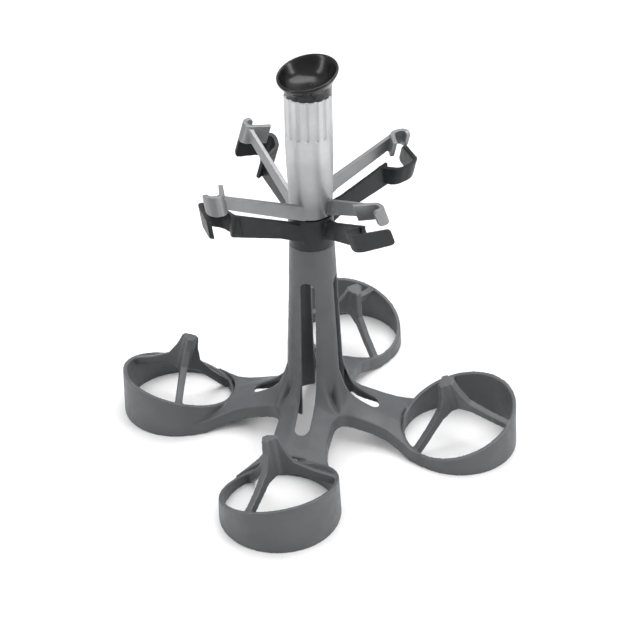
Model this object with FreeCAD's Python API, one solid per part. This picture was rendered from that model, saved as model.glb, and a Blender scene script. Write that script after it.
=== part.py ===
import FreeCAD, Part
import os
from math import cos, sin, tan, radians, atan2, degrees, sqrt

# Four-place stemware rack for a dishwasher.
# Millimetres, +Z up. Origin: centre of the base on the plane the four rings stand on.
# Ring 1 lies along +X, rings 2, 3 and 4 follow counter-clockwise seen from above.

V = FreeCAD.Vector
UP = V(0, 0, 1)
SIDES = 4
STEP = 360.0 / SIDES
PAST = 1.0                 # cutting shapes run this far past the faces they open

# ---- rings: short tapered bands with an oblique top ----
RING_CENTRE = 107.8        # from the rack's axis to a ring's axis
RING_R = 43.0              # outer radius at the floor
RING_WALL = 3.0
RING_TAPER = 0.045         # the band narrows by this much per millimetre of height
RING_TALL = 42.0           # blank height before the oblique cut
RIM_Z = 22.8               # height of the oblique rim plane on the ring's axis
RIM_OUT = 0.261            # rise of the rim plane per millimetre outwards
RIM_SIDE = 0.244           # rise of the rim plane per millimetre counter-clockwise

# ---- tripods that carry a glass from inside ----
RIB_ANGLES = (-14.0, 106.0, -134.0)
RIB_WIDE = 5.0
PEAK_H = 37.0              # above the rim plane, along the glass axis
PEAK_R = 6.0
NECK_R, NECK_H = 8.2, 28.0
KNEE_R, KNEE_H = 13.5, 17.0
SPAN_R, SPAN_H = 27.0, 7.5
RIB_REACH, RIB_END_H = 47.0, -3.3      # past the ring's wall, where the rib is trimmed
RIB_DEEP = 7.0
KNEE_DEEP = 9.0
CORE_R = 5.0

# ---- column ----
COLUMN_TOP = 158.0
COLUMN_FOOT = 20.0
COLUMN_R = 16.0            # outer radius at the top
COLUMN_TAPER = 0.044       # grows by this much per millimetre downwards
COLUMN_WALL = 3.0
SLOT_W = 11.0
SLOT_TOP = 132.0
SLOT_OUT = 48.0            # the slot's rounded end on a leg, from the axis
CAP_LOW, CAP_HIGH = 139.0, 144.0

# ---- legs: hollow roofs with a skirt ----
LEG_WALL = 2.8
LEG_HALF = 20.0            # half width where the sides run parallel
LEG_CORNER_R = 12.0        # rounding between the skirts of neighbouring legs
SKIRT_H = 10.0
SKIRT_SPLAY = 0.8          # the skirt stands out this much at its foot
CROWN_HALF = 7.6           # half width of the flat roof
# curves along a leg: distance from the axis, then height of the roof, height of the ridge, half width
LEG_ROOF = (
    (15.0, 74.0), (20.0, 54.0), (24.0, 41.0), (27.0, 35.5), (32.0, 31.0), (38.0, 27.5),
    (48.0, 22.5), (58.0, 18.5), (68.0, 15.5), (78.0, 13.0), (88.0, 11.5))
LEG_RIDGE = (
    (15.0, 27.0), (24.0, 25.0), (38.0, 22.0), (48.0, 19.6),
    (58.0, 16.6), (68.0, 13.0), (78.0, 10.2), (88.0, 10.0))
LEG_SPREAD = ((48.0, 20.0), (58.0, 21.5), (68.0, 26.0), (78.0, 33.0), (88.0, 38.0))
LEG_STATIONS = (15.0, 20.0, 23.5, 25.0, 27.0, 29.5, 32.0, 38.0, 48.0, 58.0, 68.0, 78.0, 88.0)
CAVITY_FOOT = -60.0        # the hollow is cut well past the open underside

# ---- lean of the glasses, shared by every hook and clip ----
STEM_LEAN = 0.357          # sideways run per millimetre of height, clockwise going up

# ---- lower clip head ----
LOW_AZ = -46.5             # arm heading, measured from the ring it serves
LOW_SIDE = 4.0             # the arm's mid-plane passes this far counter-clockwise of the axis
LOW_T = 3.2
LOW_BOTTOM = (161.3, 0.336)    # height on the axis, rise per millimetre outwards
LOW_TOP = (172.6, 0.425)
LOW_REACH = 64.0
HUB_R = 15.6
HUB_TOP = 181.3
SPIGOT_R = 12.9
SPIGOT_FOOT = 150.0
LOW_ROOT = ((-5.0, 14.0), (4.0, 10.6))     # spread of an arm's foot at its bottom and top edges
HOOK_PATH = ((58.6, 7.4), (65.6, -8.0), (78.0, -10.0), (83.4, 15.8))
HOOK_Z = (190.3, 204.8)    # at the turn next to the outer leg
HOOK_TAPER = -0.08         # rise of the hook's top edge per millimetre counter-clockwise
HOOK_BEND = 6.0
HOOK_MID_Z = 194.0

# ---- upper clip head, carried by the grip tube ----
UP_AZ = -47.2
UP_SIDE = 9.3
UP_T = 3.2
UP_BOTTOM = (176.9, 0.448)
UP_TOP = (188.5, 0.417)
UP_REACH = 72.0
UP_ROOT = ((2.0, 11.4), (7.4, 11.0))
CLIP_PATH = ((65.2, -2.2), (71.6, 12.9), (80.9, 12.9), (80.5, 4.6))
CLIP_MID_Z = 212.0
CLIP_Z = (206.3, 218.7)    # at the tail
CLIP_RISE = 0.08           # rise of the clip's edges per millimetre outwards
CLIP_BEND = 4.6

TUBE_FOOT = 182.2
TUBE_TOP = 271.0
TUBE_R_FOOT = 14.8
TUBE_R = 16.3
TUBE_FULL_Z = 226.0        # the tube has its full radius from here up
TUBE_BORE = 12.6
TUBE_FLOOR_GAP = 0.6       # round the spindle, in the tube's floor
FLUTES = 16
FLUTE_R = 1.5
FLUTE_SINK = 0.45          # how far the flute's axis stands outside the tube wall
FLUTE_FOOT = 243.0

# ---- shared by both sets of arms ----
ARM_FROM = 6.0
ROOT_OUT = 29.0
FOOT_SPARE = 2.0           # the foot is made this much too tall and then trimmed with the plate
FOOT_DIVE = 0.6            # the foot's sides run this far into the plate, so no step is left
SLAB_LONG = 150.0          # size of the blocks that trim arms, hooks and clips
SLAB_HALF = 60.0
STRIP_HALF_TALL = 30.0     # hooks and clips are trimmed from strips this much taller than needed
TIP_R = 2.4                # rounding of the outer tips of hooks and clips

# ---- spindle, bushes and clip ring ----
SPINDLE_R = 6.0
SPINDLE_FOOT = 136.0
SPINDLE_TOP = 262.0
RUN_GAP = 0.05             # radial running clearance
BUSH_LOW = (184.2, 196.0)
BUSH_HIGH = (246.0, 258.0)
RETAINER_FOOT = 258.3
RETAINER_T = 1.2
RETAINER_R = 9.0
RETAINER_MOUTH = 5.0
NECK_GROOVE_R = 5.0        # the spindle's radius in the retaining ring's groove

# ---- turn stop: a pin in an arc groove ----
STOP_R = 11.6
STOP_PIN_R = 1.2
OPEN_ANGLE = 25.0
STOP_FLOOR = 177.8
STOP_PIN_FOOT = 178.2
GROOVE_SLACK = 0.35

# ---- cup at the top ----
CUP_FOOT_R = 15.6
CUP_FOOT_Z = 268.0
CUP_RIM_Z = 285.5          # middle of the rim
CUP_NECK_R, CUP_NECK_H = 16.8, 3.5         # where the cup starts to lean
CUP_OUTSIDE = ((20.4, -3.0), (21.2, -1.2), (20.6, 0.0))        # radius, height along the leaning axis
CUP_INSIDE = ((5.0, -11.5), (12.5, -9.6), (17.0, -5.0), (19.0, 0.4))
CUP_LEAN = 14.5
CUP_LOW_AZ = -120.0


def place(shape, angle):
    """A copy of the shape turned about the rack's axis."""
    out = shape.copy()
    out.rotate(V(0, 0, 0), UP, angle)
    return out


def largest(shape):
    """The biggest solid of a cut shape."""
    return sorted(shape.Solids, key=lambda solid: solid.Volume)[-1]


def save(name, shape):
    """One STEP file for one piece."""
    if len(shape.Solids) == 1:
        shape = shape.Solids[0]
    print(name, "solids", len(shape.Solids), "valid", shape.isValid(), "volume", round(shape.Volume, 1))
    shape.exportStep("parts/%s.step" % name)


def tidy(shape):
    """Merge faces that lie on one surface."""
    return shape.removeSplitter()


def prism(points, sweep):
    """Face through the points, pushed along the vector sweep."""
    return Part.Face(Part.makePolygon(points + [points[0]])).extrude(sweep)


def cone(r_low, r_high, low, high, centre=V(0, 0, 0)):
    """Tapered round bar; a plain cylinder when both radii match."""
    start = centre + V(0, 0, low)
    if abs(r_low - r_high) < 1e-6:
        return Part.makeCylinder(r_low, high - low, start)
    return Part.makeCone(r_low, r_high, high - low, start)


def washer(inner, outer, low, tall):
    """Flat ring about the axis."""
    return Part.makeCylinder(outer, tall, V(0, 0, low)).cut(Part.makeCylinder(inner, tall, V(0, 0, low)))


# ---------------------------------------------------------------- rings
def ring_skin(inset, low, high):
    """The ring's tapered outside shrunk by inset, as a solid plug."""
    base = RING_R - inset
    return cone(base - RING_TAPER * low, base - RING_TAPER * high, low, high, V(RING_CENTRE, 0, 0))


def rim_normal():
    normal = V(-RIM_OUT, -RIM_SIDE, 1)
    normal.normalize()
    return normal


def ring():
    """Band open at top and bottom, its top cut obliquely."""
    band = ring_skin(0, 0, RING_TALL).cut(ring_skin(RING_WALL, -PAST, RING_TALL + PAST))
    half = 2 * RING_R
    block = Part.makeBox(2 * half, 2 * half, half, V(-half, -half, 0))
    block.Placement = FreeCAD.Placement(V(RING_CENTRE, 0, RIM_Z), FreeCAD.Rotation(UP, rim_normal()))
    return band.cut(block)


def rib(angle):
    """One plate from the peak to the ring wall, standing square to the rim plane."""
    normal = rim_normal()
    flat = V(cos(radians(angle)), sin(radians(angle)), 0)
    along = flat - normal * flat.dot(normal)
    along.normalize()
    across = normal.cross(along)
    top = ((0, PEAK_H), (PEAK_R, PEAK_H), (NECK_R, NECK_H), (KNEE_R, KNEE_H), (SPAN_R, SPAN_H),
           (RIB_REACH, RIB_END_H))
    under = ((RIB_REACH, RIB_END_H - RIB_DEEP), (SPAN_R, SPAN_H - RIB_DEEP), (KNEE_R, KNEE_H - KNEE_DEEP),
             (0, KNEE_H - RIB_DEEP))
    middle = V(RING_CENTRE, 0, RIM_Z) - across * (RIB_WIDE / 2.0)
    return prism([middle + along * s + normal * h for s, h in top + under], across * RIB_WIDE)


def tripod():
    """Three ribs that meet in a blunt peak on the glass axis."""
    normal = rim_normal()
    low = KNEE_H - RIB_DEEP
    core = Part.makeCylinder(CORE_R, PEAK_H - low, V(RING_CENTRE, 0, RIM_Z) + normal * low, normal)
    body = core
    for angle in RIB_ANGLES:
        body = body.fuse(rib(angle))
    return tidy(body.common(ring_skin(RING_WALL, 0, 2 * RING_TALL)))


# ---------------------------------------------------------------- column and legs
def column_radius(z):
    return COLUMN_R + COLUMN_TAPER * (COLUMN_TOP - z)


def column_plug(inset, low, high):
    return cone(column_radius(low) - inset, column_radius(high) - inset, low, high)


def spindle_bore(low, high, gap=0.0):
    """Round hole about the axis, the spindle's size plus a gap, cut through from low to high."""
    return Part.makeCylinder(SPINDLE_R + gap, high - low + 2 * PAST, V(0, 0, low - PAST))


def slot_cutter():
    """The long opening that runs down the column and out along one leg."""
    half = SLOT_W / 2.0
    riser = Part.makeBox(SLOT_OUT - half, SLOT_W, SLOT_TOP - half, V(0, -half, 0))
    arch = Part.makeCylinder(half, SLOT_OUT - half, V(0, 0, SLOT_TOP - half), V(1, 0, 0))
    end = Part.makeCylinder(half, SLOT_TOP - half, V(SLOT_OUT - half, 0, 0))
    return riser.fuse(arch).fuse(end)


def column():
    """Slotted hollow column with a closing disc that holds the spindle."""
    bore = column_plug(COLUMN_WALL, COLUMN_FOOT - PAST, COLUMN_TOP + PAST)
    body = column_plug(0, COLUMN_FOOT, COLUMN_TOP).cut(bore)
    for i in range(SIDES):
        body = body.cut(place(slot_cutter(), i * STEP))
    disc = column_plug(COLUMN_WALL, CAP_LOW, CAP_HIGH).cut(spindle_bore(CAP_LOW, CAP_HIGH))
    return tidy(body.fuse(disc))


def read_off(curve, x):
    """Height or width at x on a curve given by its corner points."""
    for (x1, y1), (x2, y2) in zip(curve[:-1], curve[1:]):
        if x <= x2:
            return y1 + (y2 - y1) * (x - x1) / (x2 - x1)
    return curve[-1][1]


def leg_half(x):
    """Half width of a leg at x: rounded into its neighbour inside, spread to meet the ring outside."""
    end = LEG_HALF + LEG_CORNER_R
    if x >= LEG_SPREAD[0][0]:
        return read_off(LEG_SPREAD, x)
    if x >= end:
        return LEG_HALF
    if x <= LEG_HALF:
        return x + PAST
    return min(x + PAST, end - sqrt(LEG_CORNER_R ** 2 - (end - x) ** 2))


def leg_outline(x, wall):
    """Cross-section of a leg at x: flat roof, sloping shoulders, upright skirt."""
    roof, ridge, half = read_off(LEG_ROOF, x), read_off(LEG_RIDGE, x), leg_half(x)
    foot = CAVITY_FOOT if wall else max(ridge - SKIRT_H, 0.0)
    outline = [(half + SKIRT_SPLAY - wall, foot), (half - wall, ridge - wall), (CROWN_HALF, roof - wall)]
    points = [V(x, y, z) for y, z in outline] + [V(x, -y, z) for y, z in reversed(outline)]
    return Part.makePolygon(points + [points[0]])


def leg():
    """Hollow leg between the column and its ring, open below."""
    outer = Part.makeLoft([leg_outline(x, 0) for x in LEG_STATIONS], True, True)
    inner = Part.makeLoft([leg_outline(x, LEG_WALL) for x in LEG_STATIONS], True, True)
    far = RING_CENTRE
    quarter = prism([V(0, 0, -PAST), V(far, -far, -PAST), V(far, far, -PAST)], V(0, 0, COLUMN_TOP))
    shell = outer.cut(inner).common(quarter).cut(slot_cutter())
    shell = shell.cut(column_plug(0, -PAST, COLUMN_TOP)).cut(ring_skin(0, -PAST, RING_TALL))
    return tidy(largest(shell))


# ---------------------------------------------------------------- arms and hooks
def slab(bottom, top, twist=0.0):
    """Slab along +X between two planes that rise outwards; twist also raises the top one along +Y."""
    corners = {}
    for x in (0.0, SLAB_LONG):
        for y in (-SLAB_HALF, SLAB_HALF):
            corners[x, y, 0] = V(x, y, bottom[0] + bottom[1] * x)
            corners[x, y, 1] = V(x, y, top[0] + top[1] * x + twist * y)

    def wall(*keys):
        points = [corners[key] for key in keys]
        return Part.Face(Part.makePolygon(points + [points[0]]))
    x, y = SLAB_LONG, SLAB_HALF
    plan = ((0, -y), (x, -y), (x, y), (0, y))
    faces = [wall(*[(px, py, level) for px, py in plan]) for level in (0, 1)]
    for i, (x1, y1) in enumerate(plan):
        x2, y2 = plan[i - 1]
        faces.append(wall((x1, y1, 0), (x2, y2, 0), (x2, y2, 1), (x1, y1, 1)))
    solid = Part.Solid(Part.Shell(faces))
    return solid if solid.Volume > 0 else solid.reversed()


def offset_point(point, direction, side):
    """The point moved square to a direction, to the left for a positive side."""
    return V(point.x - direction.y * side, point.y + direction.x * side, 0)


def strip_side(path, headings, radius, side):
    """Edges of one side of a strip, a rounded path moved sideways; and its two ends."""
    edges = []
    first = last = offset_point(path[0], headings[0], side)
    for i in range(1, len(path) - 1):
        a, b = headings[i - 1], headings[i]
        turn = atan2(a.x * b.y - a.y * b.x, a.dot(b))
        way = 1 if turn > 0 else -1
        setback = radius * tan(abs(turn) / 2.0)
        centre = offset_point(path[i] - a * setback, a, way * radius)
        halfway = a + b
        halfway.normalize()
        entry = offset_point(path[i] - a * setback, a, side)
        leave = offset_point(path[i] + b * setback, b, side)
        middle = offset_point(centre, halfway, side - way * radius)
        edges.append(Part.makeLine(last, entry))
        edges.append(Part.Arc(entry, middle, leave).toShape())
        last = leave
    final = offset_point(path[-1], headings[-1], side)
    edges.append(Part.makeLine(last, final))
    return edges, first, final


def bent_strip(points, radius, thickness, middle_z, half_height):
    """Strip of even thickness along a rounded path, leaning with the glass stems."""
    path = [V(x, y, 0) for x, y in points]
    headings = []
    for a, b in zip(path[:-1], path[1:]):
        step = b - a
        step.normalize()
        headings.append(step)
    left, left_start, left_end = strip_side(path, headings, radius, thickness / 2.0)
    right, right_start, right_end = strip_side(path, headings, radius, -thickness / 2.0)
    loop = left + [Part.makeLine(left_end, right_end)] + right + [Part.makeLine(right_start, left_start)]
    face = Part.Face(Part.Wire(Part.__sortEdges__(loop)))
    face.translate(V(0, STEM_LEAN * half_height, middle_z - half_height))
    return face.extrude(V(0, -STEM_LEAN * 2 * half_height, 2 * half_height))


def foot(bottom, top, side, spread, thickness):
    """Flared foot that spreads an arm over part of its hub, wide low down and slim at the top."""
    half = thickness / 2.0 - FOOT_DIVE

    def outline(x, low_span, top_span):
        low = bottom[0] + bottom[1] * x - FOOT_SPARE
        high = top[0] + top[1] * x + FOOT_SPARE
        points = [V(x, y, low) for y in low_span] + [V(x, y, high) for y in reversed(top_span)]
        return Part.makePolygon(points + [points[0]])
    slim = (side - half, side + half)
    root = outline(ARM_FROM - PAST, *spread)
    return Part.makeLoft([root, outline(ROOT_OUT, slim, slim)], True, True)


def arm(bottom, top, side, spread, thickness, reach, hub, strip, floor):
    """Rising plate with a flared foot, cut to sit against its hub and its hook or clip."""
    corner = V(ARM_FROM, side - thickness / 2.0, SLAB_LONG)
    plate = Part.makeBox(reach - ARM_FROM, thickness, SLAB_LONG, corner)
    body = plate.fuse(foot(bottom, top, side, spread, thickness)).common(slab(bottom, top))
    above = Part.makeBox(SLAB_LONG, 2 * SLAB_HALF, SLAB_LONG, V(0, -SLAB_HALF, floor))
    return tidy(largest(body.common(above).cut(hub).cut(strip)))


def round_tip(strip, path, middle_z, thickness):
    """Round the two corners at a strip's outer end."""
    corners = []
    for edge in strip.Edges:
        middle = edge.CenterOfMass
        tip_y = path[-1][1] - STEM_LEAN * (middle.z - middle_z)
        beside = V(middle.x - path[-1][0], middle.y - tip_y, 0).Length
        if beside < thickness / 4.0 and edge.Length < 2 * thickness:
            corners.append(edge)
    return strip.makeFillet(TIP_R, corners)


def lower_hook():
    """Hook that passes a stem on its clockwise side and turns back outside it."""
    strip = bent_strip(HOOK_PATH, HOOK_BEND, LOW_T, HOOK_MID_Z, STRIP_HALF_TALL)
    turn_x, turn_y = HOOK_PATH[2]
    rise = LOW_BOTTOM[1]
    low = (HOOK_Z[0] - rise * turn_x, rise)
    high = (HOOK_Z[1] - rise * turn_x - HOOK_TAPER * turn_y, rise)
    return round_tip(strip.common(slab(low, high, HOOK_TAPER)), HOOK_PATH, HOOK_MID_Z, LOW_T)


def upper_clip():
    """Clip that passes a stem on its counter-clockwise side, with a tail on the stem's inner side."""
    strip = bent_strip(CLIP_PATH, CLIP_BEND, UP_T, CLIP_MID_Z, STRIP_HALF_TALL)
    start = CLIP_PATH[0][0]
    low = (CLIP_Z[0] - CLIP_RISE * start, CLIP_RISE)
    high = (CLIP_Z[1] - CLIP_RISE * start, CLIP_RISE)
    return round_tip(strip.common(slab(low, high)), CLIP_PATH, CLIP_MID_Z, UP_T)


# ---------------------------------------------------------------- hubs and tube
def stop_groove():
    """Arc groove in the lower hub in which the stop pin travels."""
    wide = STOP_PIN_R + GROOVE_SLACK
    depth = HUB_TOP - STOP_FLOOR + PAST
    floor = V(0, 0, STOP_FLOOR)
    groove = washer(STOP_R - wide, STOP_R + wide, STOP_FLOOR, depth)
    spread = degrees(GROOVE_SLACK / STOP_R)
    ends = [V(cos(radians(a)), sin(radians(a)), 0) for a in (-spread, OPEN_ANGLE + spread)]
    groove = groove.common(prism([floor] + [floor + end * 2 * HUB_R for end in ends], V(0, 0, depth)))
    for end in ends:
        groove = groove.fuse(Part.makeCylinder(wide, depth, floor + end * STOP_R))
    return groove


def hub_blank():
    """The collar before it is bored."""
    return Part.makeCylinder(HUB_R, HUB_TOP - COLUMN_TOP, V(0, 0, COLUMN_TOP))


def lower_hub():
    """Collar on the column top with a spigot, the spindle's bore and the stop groove."""
    body = hub_blank().fuse(Part.makeCylinder(SPIGOT_R, COLUMN_TOP - SPIGOT_FOOT, V(0, 0, SPIGOT_FOOT)))
    return tidy(body.cut(spindle_bore(SPIGOT_FOOT, HUB_TOP)).cut(stop_groove()))


def tube_outside():
    lower = cone(TUBE_R_FOOT, TUBE_R, TUBE_FOOT, TUBE_FULL_Z)
    upper = Part.makeCylinder(TUBE_R, TUBE_TOP - TUBE_FULL_Z, V(0, 0, TUBE_FULL_Z))
    return tidy(lower.fuse(upper))


def flute():
    """One round-ended groove in the grip."""
    centre = TUBE_R + FLUTE_SINK
    rod = Part.makeCylinder(FLUTE_R, TUBE_TOP - FLUTE_FOOT + PAST, V(centre, 0, FLUTE_FOOT))
    return rod.fuse(Part.makeSphere(FLUTE_R, V(centre, 0, FLUTE_FOOT)))


def grip_tube():
    """Fluted tube that turns on the spindle; its floor carries the stop pin."""
    body = tube_outside().cut(Part.makeCylinder(TUBE_BORE, TUBE_TOP, V(0, 0, BUSH_LOW[0])))
    body = body.cut(spindle_bore(TUBE_FOOT, TUBE_TOP, TUBE_FLOOR_GAP))
    for i in range(FLUTES):
        body = body.cut(place(flute(), (i + 0.5) * 360.0 / FLUTES))
    return tidy(body)


def bush(low, high):
    """Plain bearing pressed in the tube, running on the spindle."""
    return Part.makeCylinder(TUBE_BORE, high - low, V(0, 0, low)).cut(spindle_bore(low, high, RUN_GAP))


def spindle():
    """Upright pin fixed in the column and the lower hub, grooved for its retaining ring."""
    body = Part.makeCylinder(SPINDLE_R, SPINDLE_TOP - SPINDLE_FOOT, V(0, 0, SPINDLE_FOOT))
    return body.cut(washer(NECK_GROOVE_R, SPINDLE_R + PAST, RETAINER_FOOT, RETAINER_T))


def retaining_ring():
    """Open ring in the spindle's groove that keeps the head from lifting."""
    body = washer(NECK_GROOVE_R, RETAINER_R, RETAINER_FOOT, RETAINER_T)
    corner = V(0, -RETAINER_MOUTH / 2.0, RETAINER_FOOT)
    return body.cut(Part.makeBox(RETAINER_R, RETAINER_MOUTH, RETAINER_T, corner))


def stop_pin():
    """Short pin under the tube that runs in the hub's arc groove."""
    return Part.makeCylinder(STOP_PIN_R, TUBE_FOOT - STOP_PIN_FOOT, V(STOP_R, 0, STOP_PIN_FOOT))


def cup():
    """Leaning finger cup: flared outside, rolled rim, smooth hollow."""
    lean = radians(CUP_LEAN)
    low_side = V(cos(radians(CUP_LOW_AZ)), sin(radians(CUP_LOW_AZ)), 0)
    axis = low_side * sin(lean) + UP * cos(lean)
    top = V(0, 0, CUP_RIM_Z)

    def hoop(radius, centre, direction):
        return Part.Wire(Part.makeCircle(radius, centre, direction))
    foot_centre = V(0, 0, TUBE_TOP)
    neck = [hoop(CUP_FOOT_R, foot_centre, UP), hoop(CUP_NECK_R, foot_centre + axis * CUP_NECK_H, UP + axis)]
    outside = Part.makeLoft(neck + [hoop(r, top + axis * h, axis) for r, h in CUP_OUTSIDE], True, False)
    inside = Part.makeLoft([hoop(r, top + axis * h, axis) for r, h in CUP_INSIDE], True, False)
    plug = Part.makeCylinder(TUBE_BORE, TUBE_TOP - CUP_FOOT_Z, V(0, 0, CUP_FOOT_Z))
    return outside.cut(inside).fuse(plug)


def main():
    os.makedirs("parts", exist_ok=True)
    save("base_column", column())
    a_leg, a_ring, a_tripod = leg(), ring(), tripod()
    low_hook, up_clip = lower_hook(), upper_clip()
    low_arm = arm(LOW_BOTTOM, LOW_TOP, LOW_SIDE, LOW_ROOT, LOW_T, LOW_REACH,
                  hub_blank(), low_hook, COLUMN_TOP)
    up_arm = arm(UP_BOTTOM, UP_TOP, UP_SIDE, UP_ROOT, UP_T, UP_REACH,
                 tube_outside(), up_clip, TUBE_FOOT)
    for i in range(SIDES):
        angle = i * STEP
        number = i + 1
        save("leg_%d" % number, place(a_leg, angle))
        save("ring_%d" % number, place(a_ring, angle))
        save("tripod_%d" % number, place(a_tripod, angle))
        save("lower_arm_%d" % number, place(low_arm, angle + LOW_AZ))
        save("lower_hook_%d" % number, place(low_hook, angle + LOW_AZ))
        save("upper_arm_%d" % number, place(up_arm, angle + UP_AZ))
        save("upper_clip_%d" % number, place(up_clip, angle + UP_AZ))
    save("lower_hub", lower_hub())
    save("grip_tube", grip_tube())
    save("bush_low", bush(*BUSH_LOW))
    save("bush_high", bush(*BUSH_HIGH))
    save("spindle", spindle())
    save("retaining_ring", retaining_ring())
    save("stop_pin", stop_pin())
    save("top_cup", cup())


main()
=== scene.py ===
"""Looks for the four-place stemware rack: moulded shells, satin head, gloss cup, studio."""
import math
import bmesh
import bpy
from mathutils import Matrix, Vector


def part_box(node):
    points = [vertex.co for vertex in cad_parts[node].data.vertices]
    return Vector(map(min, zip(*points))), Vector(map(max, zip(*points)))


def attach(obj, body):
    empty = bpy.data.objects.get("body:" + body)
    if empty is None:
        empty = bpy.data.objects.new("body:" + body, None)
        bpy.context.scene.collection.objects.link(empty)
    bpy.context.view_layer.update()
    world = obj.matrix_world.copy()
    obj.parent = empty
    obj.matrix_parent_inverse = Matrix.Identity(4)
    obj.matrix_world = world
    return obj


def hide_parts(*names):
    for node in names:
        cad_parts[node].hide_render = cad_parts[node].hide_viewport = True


MM = 0.001
SIDES = 4

# ---- skins: voxel size, rounds of smoothing ----
BASE_VOXEL, BASE_ROUNDS = 0.72 * MM, 3
ARM_VOXEL, ARM_ROUNDS = 0.45 * MM, 4
HEAD_VOXEL, HEAD_ROUNDS = 0.36 * MM, 3
SWELL = 0.12 * MM              # pieces that only touch are grown this much, so that they merge

# ---- cup: heights from the tube's top, as a share of the way to the rim's centre ----
CUP_LEAN = math.radians(14.5)
CUP_LEAN_SHARE = 0.8           # the cup has its full lean from this share of the rise up
CUP_LOW_AZIMUTH = math.radians(-120.0)
CUP_PLUG = 3.0 * MM            # the CAD cup starts this far inside the tube
CUP_RIM_RISE = 14.5 * MM
CUP_SEGMENTS = 48
CUP_PROFILE = (                # share of the rise, radius in millimetres
    (0.0, 14.9), (0.02, 15.6), (0.10, 16.1), (0.24, 16.2), (0.42, 16.7), (0.60, 18.0), (0.76, 19.6),
    (0.88, 20.8), (0.96, 21.2), (1.01, 20.9), (1.03, 20.2), (1.0, 19.4), (0.90, 18.6), (0.72, 17.4),
    (0.52, 15.6), (0.36, 12.8), (0.28, 9.0), (0.25, 4.5))

# ---- colours, each as a dark and a light shade that are mixed in clouds ----
BASE_GREY = (0.078, 0.080, 0.086), (0.098, 0.100, 0.107)
# painted highlight for the base's edges
BASE_PAINTED_EDGE_HIGHLIGHT = (0.17, 0.172, 0.18)
ARM_GREY = (0.016, 0.017, 0.019), (0.024, 0.025, 0.027)
# painted highlight for the lower arms' edges
ARM_PAINTED_EDGE_HIGHLIGHT = (0.075, 0.075, 0.08)
TUBE_SILVER = (0.47, 0.475, 0.485), (0.56, 0.565, 0.575)
# painted shade: arm silver is the tube's silver darkened as if the arms stood in shade
ARM_SILVER_PAINTED_SHADE = (0.215, 0.218, 0.224), (0.255, 0.258, 0.264)
# painted shade for silver creases, painted highlight for silver edges
SILVER_CREASE_PAINTED_SHADE, SILVER_PAINTED_EDGE_HIGHLIGHT = (0.13, 0.13, 0.135), (0.55, 0.55, 0.56)
CUP_BLACK = (0.004, 0.004, 0.005), (0.008, 0.008, 0.009)
STEEL = (0.50, 0.50, 0.51), (0.62, 0.62, 0.63)
ACETAL = (0.66, 0.65, 0.61), (0.76, 0.75, 0.71)
FLOOR_WHITE = (0.90, 0.90, 0.90), (0.93, 0.93, 0.93)

# ---- silver paint with painted shade: tube silver starts above these heights, and gives way outwards to arm silver, the same silver darkened as painted shade ----
TUBE_PAINTED_SHADE_HEIGHTS = (190.0 * MM, 230.0 * MM)
ARM_PAINTED_SHADE_FROM_AXIS = (17.0 * MM, 21.0 * MM)

# ---- pointiness of a surface: from a full crease to flat, where shade is painted in, and from flat to a full edge, where a highlight is painted on ----
CREASE = (0.42, 0.49)
PLASTIC_EDGE = (0.525, 0.58)
SILVER_EDGE = (0.56, 0.66)

# ---- studio: the surroundings' strength low down and high up; lights by place, size and watts ----
SKY_DIM, SKY_PALE = 0.25, 0.75
SKY_LOW, SKY_HIGH = -0.6, 0.8
FLOOR_HALF = 6.0
LIGHT_AIM = Vector((0, 0, 0.13))
LIGHTS = {
    "top": ((0.1, 0.5, 1.9), (1.8, 1.4), 34.0),
    "left": ((-1.3, -0.9, 0.9), (0.35, 1.3), 9.0),
    "right": ((1.4, -0.3, 0.8), (0.35, 1.2), 9.0)}

# ---- camera, at the photograph's viewing angle ----
CAMERA_AT = Vector((0.2350, -0.8966, 0.7055))
CAMERA_HEADING = math.radians(14.42)
CAMERA_DOWN = math.radians(33.54)
CAMERA_ROLL = math.radians(-1.42)
CAMERA_LENS = 86.4
CAMERA_SENSOR = 36.0


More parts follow.
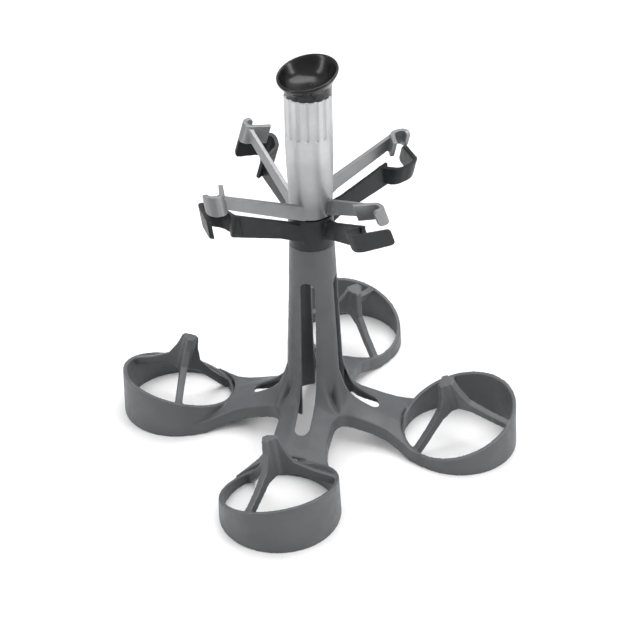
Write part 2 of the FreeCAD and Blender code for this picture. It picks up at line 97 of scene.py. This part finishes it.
# ---------------------------------------------------------------- materials
class Nodes:
    """Small helper that adds and links shader nodes."""

    def __init__(self, name):
        self.material = bpy.data.materials.new(name)
        self.material.use_nodes = True
        self.tree = self.material.node_tree
        self.shader = self.tree.nodes["Principled BSDF"]
        self.place = self.tree.nodes.new("ShaderNodeTexCoord").outputs["Object"]

    def link(self, source, target):
        self.tree.links.new(source, target)

    def mapped(self, scale):
        """Object coordinates stretched by scale."""
        node = self.tree.nodes.new("ShaderNodeMapping")
        node.inputs["Scale"].default_value = scale
        self.link(self.place, node.inputs["Vector"])
        return node.outputs["Vector"]

    def measure(self, scale):
        """Length of the object coordinates stretched by scale."""
        node = self.tree.nodes.new("ShaderNodeVectorMath")
        node.operation = "LENGTH"
        self.link(self.mapped(scale), node.inputs[0])
        return node.outputs["Value"]

    def noise(self, scale, detail, vector=None):
        node = self.tree.nodes.new("ShaderNodeTexNoise")
        node.inputs["Scale"].default_value = scale
        node.inputs["Detail"].default_value = detail
        self.link(vector or self.place, node.inputs["Vector"])
        return node.outputs["Fac"]

    def span(self, value, low, high, from_low=0.3, from_high=0.7):
        """The value's middle range spread from low to high."""
        node = self.tree.nodes.new("ShaderNodeMapRange")
        node.inputs["From Min"].default_value = from_low
        node.inputs["From Max"].default_value = from_high
        node.inputs["To Min"].default_value = low
        node.inputs["To Max"].default_value = high
        self.link(value, node.inputs["Value"])
        return node.outputs["Result"]

    def pointiness(self, low, high):
        """Pointiness between low and high: 0.5 on flats, more on edges, less in creases."""
        point = self.tree.nodes.new("ShaderNodeNewGeometry").outputs["Pointiness"]
        return self.span(point, 0.0, 1.0, low, high)

    def mix(self, factor, first, second):
        node = self.tree.nodes.new("ShaderNodeMix")
        node.data_type = "RGBA"
        self.link(factor, node.inputs["Factor"])
        for socket, value in ((node.inputs[6], first), (node.inputs[7], second)):
            if isinstance(value, tuple):
                socket.default_value = (*value, 1.0)
            else:
                self.link(value, socket)
        return node.outputs[2]

    def clouded(self, scale, detail, shades):
        """Two shades mixed in soft clouds."""
        return self.mix(self.span(self.noise(scale, detail), 0.0, 1.0), *shades)

    def bump(self, height, strength, distance, under=None):
        node = self.tree.nodes.new("ShaderNodeBump")
        node.inputs["Strength"].default_value = strength
        node.inputs["Distance"].default_value = distance
        self.link(height, node.inputs["Height"])
        if under:
            self.link(under, node.inputs["Normal"])
        return node.outputs["Normal"]


def moulded_plastic(name, shades, worn, roughness, shine):
    """Matte moulded plastic: fine spark grain, faint flow marks, painted shade in creases, painted
    highlights on edges.
    """
    n = Nodes(name)
    body = n.clouded(38.0, 4.0, shades)
    # painted shade: creases are darkened
    painted_crease_shade = tuple(0.55 * channel for channel in shades[0])
    body = n.mix(n.pointiness(*CREASE), painted_crease_shade, body)
    # painted highlight: edges are lightened
    n.link(n.mix(n.pointiness(*PLASTIC_EDGE), body, worn), n.shader.inputs["Base Color"])
    rub = n.noise(170.0, 3.0)
    n.link(n.span(rub, roughness - 0.07, roughness + 0.07), n.shader.inputs["Roughness"])
    grain = n.noise(2600.0, 2.0)
    flow = n.noise(55.0, 2.0)
    rough_skin = n.bump(grain, 0.22, 0.00012)
    n.link(n.bump(flow, 0.10, 0.0006, rough_skin), n.shader.inputs["Normal"])
    n.shader.inputs["Specular IOR Level"].default_value = shine
    return n.material


def satin_silver(name):
    """Silver-grey satin paint: fine lines around the bright tube, and painted shade that darkens its
    arms and its foot.
    """
    n = Nodes(name)
    tube = n.clouded(60.0, 3.0, TUBE_SILVER)
    arms = n.clouded(60.0, 3.0, ARM_SILVER_PAINTED_SHADE)
    # painted shade: the tube darkens to arm silver towards its foot
    tube = n.mix(n.span(n.measure((0.0, 0.0, 1.0)), 0.0, 1.0, *TUBE_PAINTED_SHADE_HEIGHTS), arms, tube)
    # painted shade: the darker arm silver takes over outwards from the axis
    body = n.mix(n.span(n.measure((1.0, 1.0, 0.0)), 0.0, 1.0, *ARM_PAINTED_SHADE_FROM_AXIS), tube, arms)
    # painted shade: creases are darkened
    body = n.mix(n.pointiness(*CREASE), SILVER_CREASE_PAINTED_SHADE, body)
    # painted highlight: edges are lightened
    n.link(n.mix(n.pointiness(*SILVER_EDGE), body, SILVER_PAINTED_EDGE_HIGHLIGHT), n.shader.inputs["Base Color"])
    lines = n.noise(1.0, 3.0, n.mapped((160.0, 160.0, 2600.0)))
    n.link(n.span(lines, 0.36, 0.50), n.shader.inputs["Roughness"])
    n.link(n.bump(lines, 0.12, 0.00006), n.shader.inputs["Normal"])
    n.shader.inputs["Metallic"].default_value = 0.6
    return n.material


def gloss_black(name):
    """Polished black plastic with faint swirl marks."""
    n = Nodes(name)
    n.link(n.clouded(90.0, 3.0, CUP_BLACK), n.shader.inputs["Base Color"])
    n.link(n.span(n.noise(420.0, 4.0), 0.20, 0.28), n.shader.inputs["Roughness"])
    n.link(n.bump(n.noise(700.0, 2.0), 0.05, 0.00008), n.shader.inputs["Normal"])
    n.shader.inputs["Specular IOR Level"].default_value = 0.35
    return n.material


def turned_steel(name):
    """Turned steel with fine rings along the bar."""
    n = Nodes(name)
    rings = n.noise(1.0, 2.0, n.mapped((60.0, 60.0, 4000.0)))
    n.link(n.mix(n.span(rings, 0.0, 1.0), *STEEL), n.shader.inputs["Base Color"])
    n.link(n.span(rings, 0.24, 0.38), n.shader.inputs["Roughness"])
    n.link(n.bump(rings, 0.15, 0.00005), n.shader.inputs["Normal"])
    n.shader.inputs["Metallic"].default_value = 1.0
    return n.material


def pale_plastic(name):
    """Natural acetal for the bushes."""
    n = Nodes(name)
    n.link(n.mix(n.noise(120.0, 3.0), *ACETAL), n.shader.inputs["Base Color"])
    n.link(n.span(n.noise(500.0, 3.0), 0.35, 0.48), n.shader.inputs["Roughness"])
    n.link(n.bump(n.noise(1800.0, 2.0), 0.1, 0.0001), n.shader.inputs["Normal"])
    return n.material


# ---------------------------------------------------------------- skins
def numbered(*families):
    """Node names of the pieces that come once per ring."""
    return ["%s_%d" % (family, i + 1) for family in families for i in range(SIDES)]


def modify(obj, kind, **settings):
    modifier = obj.modifiers.new(kind.title(), kind)
    for key, value in settings.items():
        setattr(modifier, key, value)
    return modifier


def freeze(obj):
    """Replace the mesh by what its modifiers make of it."""
    bpy.context.view_layer.update()
    shaped = obj.evaluated_get(bpy.context.evaluated_depsgraph_get())
    mesh = bpy.data.meshes.new_from_object(shaped)
    obj.modifiers.clear()
    obj.data = mesh


def add_object(name, mesh):
    obj = bpy.data.objects.new(name, mesh)
    bpy.context.scene.collection.objects.link(obj)
    return obj


def skin(name, nodes, voxel, rounds):
    """One continuous moulded skin around CAD nodes, with softened edges and corners."""
    work = bmesh.new()
    for node in nodes:
        work.from_mesh(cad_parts[node].data)
    bmesh.ops.remove_doubles(work, verts=work.verts, dist=1e-6)
    work.normal_update()
    mesh = bpy.data.meshes.new(name)
    work.to_mesh(mesh)
    work.free()
    obj = add_object(name, mesh)
    modify(obj, "DISPLACE", strength=SWELL, mid_level=0.0)
    modify(obj, "REMESH", mode="VOXEL", voxel_size=voxel, adaptivity=0.0, use_smooth_shade=True)
    modify(obj, "SMOOTH", factor=0.5, iterations=rounds)
    modify(obj, "DISPLACE", strength=-SWELL, mid_level=0.0)
    freeze(obj)
    obj.data.shade_smooth()
    return obj


def finish_piece(obj, body, material, nodes):
    obj.data.materials.clear()
    obj.data.materials.append(material)
    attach(obj, body)
    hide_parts(*nodes)


def cup():
    """Leaning finger cup: a neck, a flare, a rolled rim and a smooth hollow."""
    tube_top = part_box("top_cup")[0].z + CUP_PLUG
    low_side = Vector((math.cos(CUP_LOW_AZIMUTH), math.sin(CUP_LOW_AZIMUTH), 0.0))
    work = bmesh.new()
    loops = []
    for share, radius in CUP_PROFILE:
        lean = CUP_LEAN * min(1.0, share / CUP_LEAN_SHARE)
        turn = Matrix.Rotation(lean, 4, Vector((0, 0, 1)).cross(low_side))
        centre = Vector((0, 0, tube_top + CUP_RIM_RISE * share))
        loop = []
        for i in range(CUP_SEGMENTS):
            azimuth = 2 * math.pi * i / CUP_SEGMENTS
            spoke = Vector((math.cos(azimuth), math.sin(azimuth), 0.0)) * radius * MM
            loop.append(work.verts.new(centre + turn @ spoke))
        loops.append(loop)
    for lower, upper in zip(loops[:-1], loops[1:]):
        for i in range(CUP_SEGMENTS):
            j = (i + 1) % CUP_SEGMENTS
            work.faces.new((lower[i], lower[j], upper[j], upper[i]))
    work.faces.new(loops[-1])
    work.faces.new(reversed(loops[0]))
    bmesh.ops.recalc_face_normals(work, faces=work.faces)
    mesh = bpy.data.meshes.new("cup_skin")
    work.to_mesh(mesh)
    work.free()
    obj = add_object("cup_skin", mesh)
    modify(obj, "SUBSURF", levels=2, render_levels=2)
    freeze(obj)
    obj.data.shade_smooth()
    return obj


def build_rack():
    base_nodes = ["base_column"] + numbered("leg", "ring", "tripod")
    arm_nodes = ["lower_hub"] + numbered("lower_arm", "lower_hook")
    head_nodes = ["grip_tube"] + numbered("upper_arm", "upper_clip")
    base_look = moulded_plastic("base_grey", BASE_GREY, BASE_PAINTED_EDGE_HIGHLIGHT, roughness=0.46, shine=0.40)
    arm_look = moulded_plastic("arm_grey", ARM_GREY, ARM_PAINTED_EDGE_HIGHLIGHT, roughness=0.42, shine=0.27)
    base = skin("base_skin", base_nodes, BASE_VOXEL, BASE_ROUNDS)
    finish_piece(base, "base", base_look, base_nodes)
    arms = skin("lower_arms_skin", arm_nodes, ARM_VOXEL, ARM_ROUNDS)
    finish_piece(arms, "base", arm_look, arm_nodes)
    head = skin("head_skin", head_nodes, HEAD_VOXEL, HEAD_ROUNDS)
    finish_piece(head, "head", satin_silver("grip_silver"), head_nodes)
    finish_piece(cup(), "head", gloss_black("cup_black"), ["top_cup"])
    steel = turned_steel("spindle_steel")
    acetal = pale_plastic("bush_acetal")
    for node, look in (("spindle", steel), ("retaining_ring", steel), ("stop_pin", steel),
                       ("bush_low", acetal), ("bush_high", acetal)):
        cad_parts[node].data.materials.clear()
        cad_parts[node].data.materials.append(look)


# ---------------------------------------------------------------- studio
def floor():
    """Large pale sheet under the rack, with a faint sheen."""
    half = FLOOR_HALF
    corners = [(-half, -half, 0), (half, -half, 0), (half, half, 0), (-half, half, 0)]
    mesh = bpy.data.meshes.new("floor")
    mesh.from_pydata(corners, [], [(0, 1, 2, 3)])
    obj = add_object("floor", mesh)
    n = Nodes("pale_floor")
    n.link(n.mix(n.noise(3.0, 2.0), *FLOOR_WHITE), n.shader.inputs["Base Color"])
    n.link(n.span(n.noise(25.0, 3.0), 0.22, 0.28), n.shader.inputs["Roughness"])
    mesh.materials.append(n.material)


def area_light(name, place, size, power):
    data = bpy.data.lights.new(name, "AREA")
    data.shape = "RECTANGLE"
    data.size, data.size_y = size
    data.energy = power
    obj = bpy.data.objects.new(name, data)
    obj.location = place
    obj.rotation_euler = (LIGHT_AIM - Vector(place)).to_track_quat("-Z", "Y").to_euler()
    bpy.context.scene.collection.objects.link(obj)


def sky():
    """Plain surroundings: dim low down, pale above."""
    world = bpy.data.worlds.new("studio")
    world.use_nodes = True
    tree = world.node_tree
    place = tree.nodes.new("ShaderNodeTexCoord").outputs["Generated"]
    parts = tree.nodes.new("ShaderNodeSeparateXYZ")
    tree.links.new(place, parts.inputs["Vector"])
    shade = tree.nodes.new("ShaderNodeMapRange")
    shade.inputs["From Min"].default_value = SKY_LOW
    shade.inputs["From Max"].default_value = SKY_HIGH
    shade.inputs["To Min"].default_value = SKY_DIM
    shade.inputs["To Max"].default_value = SKY_PALE
    tree.links.new(parts.outputs["Z"], shade.inputs["Value"])
    background = tree.nodes["Background"]
    background.inputs["Color"].default_value = (1.0, 1.0, 1.0, 1.0)
    tree.links.new(shade.outputs["Result"], background.inputs["Strength"])
    bpy.context.scene.world = world


def studio():
    sky()
    bpy.context.scene.view_settings.view_transform = "Standard"
    for name, (place, size, power) in LIGHTS.items():
        area_light(name, place, size, power)
    floor()


def camera():
    data = bpy.data.cameras.new("camera")
    data.lens = CAMERA_LENS
    data.sensor_width = CAMERA_SENSOR
    data.sensor_fit = "HORIZONTAL"
    obj = bpy.data.objects.new("camera", data)
    turn = Matrix.Rotation(CAMERA_HEADING, 4, "Z") @ Matrix.Rotation(math.pi / 2 - CAMERA_DOWN, 4, "X")
    obj.matrix_world = Matrix.Translation(CAMERA_AT) @ turn @ Matrix.Rotation(CAMERA_ROLL, 4, "Z")
    bpy.context.scene.collection.objects.link(obj)
    bpy.context.scene.camera = obj


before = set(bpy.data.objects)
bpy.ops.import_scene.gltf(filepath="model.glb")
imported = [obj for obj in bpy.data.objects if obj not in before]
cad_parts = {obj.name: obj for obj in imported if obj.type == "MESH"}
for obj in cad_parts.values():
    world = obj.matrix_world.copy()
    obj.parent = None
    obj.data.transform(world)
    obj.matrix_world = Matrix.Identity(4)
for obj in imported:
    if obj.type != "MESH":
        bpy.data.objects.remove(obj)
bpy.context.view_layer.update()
build_rack()
studio()
camera()
